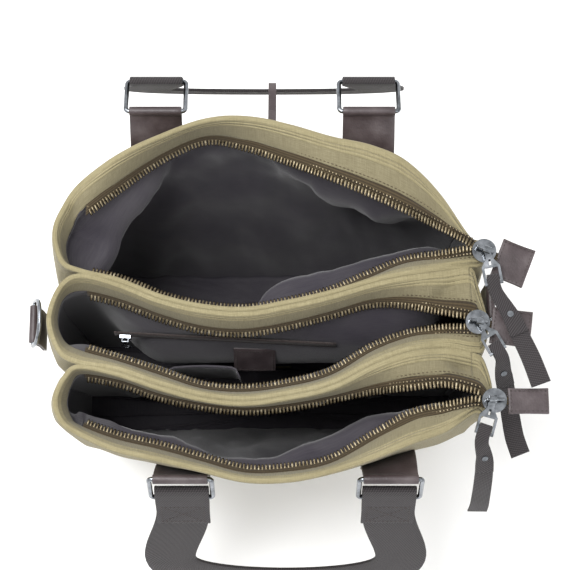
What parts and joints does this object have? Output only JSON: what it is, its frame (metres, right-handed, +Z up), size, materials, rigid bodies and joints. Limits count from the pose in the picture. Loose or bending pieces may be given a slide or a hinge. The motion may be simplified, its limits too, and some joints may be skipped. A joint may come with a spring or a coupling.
{
  "type": "messenger bag",
  "caption": "Soft canvas bag standing with three zipped compartments open, two webbing handles on ring hardware and shoulder strap rings.",
  "frame": {"origin": "Centre of the flat base on the floor.", "axes": "+X along the bag towards the zip ends, +Y towards the back compartment, +Z up."},
  "size_m": [0.3666, 0.4102, 0.2442],
  "materials": {
    "canvas": "matte khaki canvas weave",
    "lining": "dark grey plain woven lining, slight sheen",
    "zip_tape": "dark brown ribbed zip tape",
    "zip_teeth": "antique brass",
    "leather": "satin brown leather, stitched edges",
    "webbing": "coarse dark webbing",
    "nickel": "polished nickel"
  },
  "bodies": {
    "bag": {"base_panel": "canvas", "back_panel": "canvas", "front_panel": "canvas", "divider_rear": "canvas", "divider_front": "canvas", "gusset_left": "canvas", "gusset_right": "canvas", "lining_back": "lining", "lining_mid": "lining", "lining_front": "lining", "facing_back_rear": "canvas", "facing_back_front": "canvas", "facing_mid_rear": "canvas", "facing_mid_front": "canvas", "facing_front_rear": "canvas", "facing_front_front": "canvas", "zip_tape_back": "zip_tape", "zip_tape_mid": "zip_tape", "zip_tape_front": "zip_tape", "zip_teeth_back": "zip_teeth", "zip_teeth_mid": "zip_teeth", "zip_teeth_front": "zip_teeth", "zip_tail_back": "leather", "zip_tail_mid": "leather", "zip_tail_front": "leather", "handle_tab_front_left": "leather", "handle_tab_front_right": "leather", "handle_tab_rear_left": "leather", "handle_tab_rear_right": "leather", "d_tab_left": "leather", "d_tab_right": "leather", "inner_zip": "zip_tape", "label_patch": "leather", "slip_pocket": "lining", "back_zip": "zip_tape"},
    "slider_back": {"slider_back": "nickel"},
    "slider_mid": {"slider_mid": "nickel"},
    "slider_front": {"slider_front": "nickel"},
    "puller_back": {"puller_back": "nickel"},
    "puller_mid": {"puller_mid": "nickel"},
    "puller_front": {"puller_front": "nickel"},
    "ring_front_left": {"ring_front_left": "nickel"},
    "ring_front_right": {"ring_front_right": "nickel"},
    "ring_rear_left": {"ring_rear_left": "nickel"},
    "ring_rear_right": {"ring_rear_right": "nickel"},
    "handle_front": {"handle_front": "webbing"},
    "handle_rear": {"handle_rear": "webbing"},
    "d_ring_left": {"d_ring_left": "nickel"},
    "d_ring_right": {"d_ring_right": "nickel"},
    "inner_slider": {"inner_slider": "nickel"},
    "inner_puller": {"inner_puller": "nickel"},
    "back_slider": {"back_slider": "nickel"},
    "back_pull": {"back_pull": "leather"},
    "pull_strip_back": {"pull_strip_back": "webbing", "pull_rivet_back": "nickel"},
    "pull_strip_mid": {"pull_strip_mid": "webbing", "pull_rivet_mid": "nickel"},
    "pull_strip_front": {"pull_strip_front": "webbing", "pull_rivet_front": "nickel"}
  },
  "joints": [
    {"name": "slider_back_slide", "type": "slide", "parent": "bag", "child": "slider_back", "axis": [-0.9272, 0.3746, 0], "range_m": [0, 0.003]},
    {"name": "puller_back_lift", "type": "hinge", "parent": "slider_back", "child": "puller_back", "pos_m": [0.1543, 0.03448, 0.2415], "axis": [-0.9272, 0.3746, 0], "range_deg": [0, 110]},
    {"name": "pull_strip_back_swing", "type": "hinge", "parent": "puller_back", "child": "pull_strip_back", "pos_m": [0.15904, 0.01132, 0.23731], "axis": [-0.9772, -0.1798, -0.1132], "range_deg": [0, 80]},
    {"name": "slider_mid_slide", "type": "slide", "parent": "bag", "child": "slider_mid", "axis": [-0.9903, 0.1392, 0], "range_m": [0, 0.003]},
    {"name": "puller_mid_lift", "type": "hinge", "parent": "slider_mid", "child": "puller_mid", "pos_m": [0.14799, -0.01614, 0.2415], "axis": [-0.9903, 0.1392, 0], "range_deg": [0, 8]},
    {"name": "pull_strip_mid_swing", "type": "hinge", "parent": "puller_mid", "child": "pull_strip_mid", "pos_m": [0.16005, -0.03651, 0.23757], "axis": [-0.8642, -0.4867, -0.128], "range_deg": [-12, 3]},
    {"name": "slider_front_slide", "type": "slide", "parent": "bag", "child": "slider_front", "axis": [-1, 0, 0], "range_m": [0, 0.003]},
    {"name": "puller_front_lift", "type": "hinge", "parent": "slider_front", "child": "puller_front", "pos_m": [0.1552, -0.071, 0.2415], "axis": [-1, 0, 0], "range_deg": [0, 110]},
    {"name": "pull_strip_front_swing", "type": "hinge", "parent": "puller_front", "child": "pull_strip_front", "pos_m": [0.14899, -0.09368, 0.23668], "axis": [-0.9659, 0.2532, 0.0538], "range_deg": [-25, 60]},
    {"name": "ring_front_left_swing", "type": "hinge", "parent": "bag", "child": "ring_front_left", "pos_m": [-0.06, -0.124, 0.222], "axis": [-1, 0, 0], "range_deg": [0, 150]},
    {"name": "ring_front_right_swing", "type": "hinge", "parent": "bag", "child": "ring_front_right", "pos_m": [0.086, -0.124, 0.222], "axis": [-1, 0, 0], "range_deg": [0, 150]},
    {"name": "handle_front_swing", "type": "hinge", "parent": "ring_front_left", "child": "handle_front", "pos_m": [0.013, -0.13458, 0.19825], "axis": [-1, 0, 0], "range_deg": [-6, 60]},
    {"name": "ring_rear_left_swing", "type": "hinge", "parent": "bag", "child": "ring_rear_left", "pos_m": [-0.082, 0.143, 0.222], "axis": [1, 0, 0], "range_deg": [-20, 100]},
    {"name": "ring_rear_right_swing", "type": "hinge", "parent": "bag", "child": "ring_rear_right", "pos_m": [0.074, 0.143, 0.222], "axis": [1, 0, 0], "range_deg": [-20, 100]},
    {"name": "handle_rear_swing", "type": "hinge", "parent": "ring_rear_left", "child": "handle_rear", "pos_m": [-0.004, 0.16811, 0.21527], "axis": [1, 0, 0], "range_deg": [-6, 70]},
    {"name": "d_ring_left_swing", "type": "hinge", "parent": "bag", "child": "d_ring_left", "pos_m": [-0.168, -0.012, 0.205], "axis": [0, -1, 0], "range_deg": [0, 170]},
    {"name": "d_ring_right_swing", "type": "hinge", "parent": "bag", "child": "d_ring_right", "pos_m": [0.16, 0.005, 0.212], "axis": [0, -1, 0], "range_deg": [0, 125]},
    {"name": "inner_slider_slide", "type": "slide", "parent": "bag", "child": "inner_slider", "axis": [0.9986, -0.0523, 0], "range_m": [0, 0.05]},
    {"name": "inner_puller_lift", "type": "hinge", "parent": "inner_slider", "child": "inner_puller", "pos_m": [-0.10436, -0.02129, 0.185], "axis": [-0.9986, 0.0523, 0], "range_deg": [0, 35]},
    {"name": "back_slider_slide", "type": "slide", "parent": "bag", "child": "back_slider", "axis": [1, 0, 0], "range_m": [-0.004, 0.004]},
    {"name": "back_pull_swing", "type": "hinge", "parent": "back_slider", "child": "back_pull", "pos_m": [0.003, 0.1376, 0.2], "axis": [1, 0, 0], "range_deg": [-40, 60]}
  ],
  "couplings": [
    {"joint": "ring_front_right_swing", "follows": "ring_front_left_swing", "ratio": 1},
    {"joint": "ring_rear_right_swing", "follows": "ring_rear_left_swing", "ratio": 1}
  ]
}
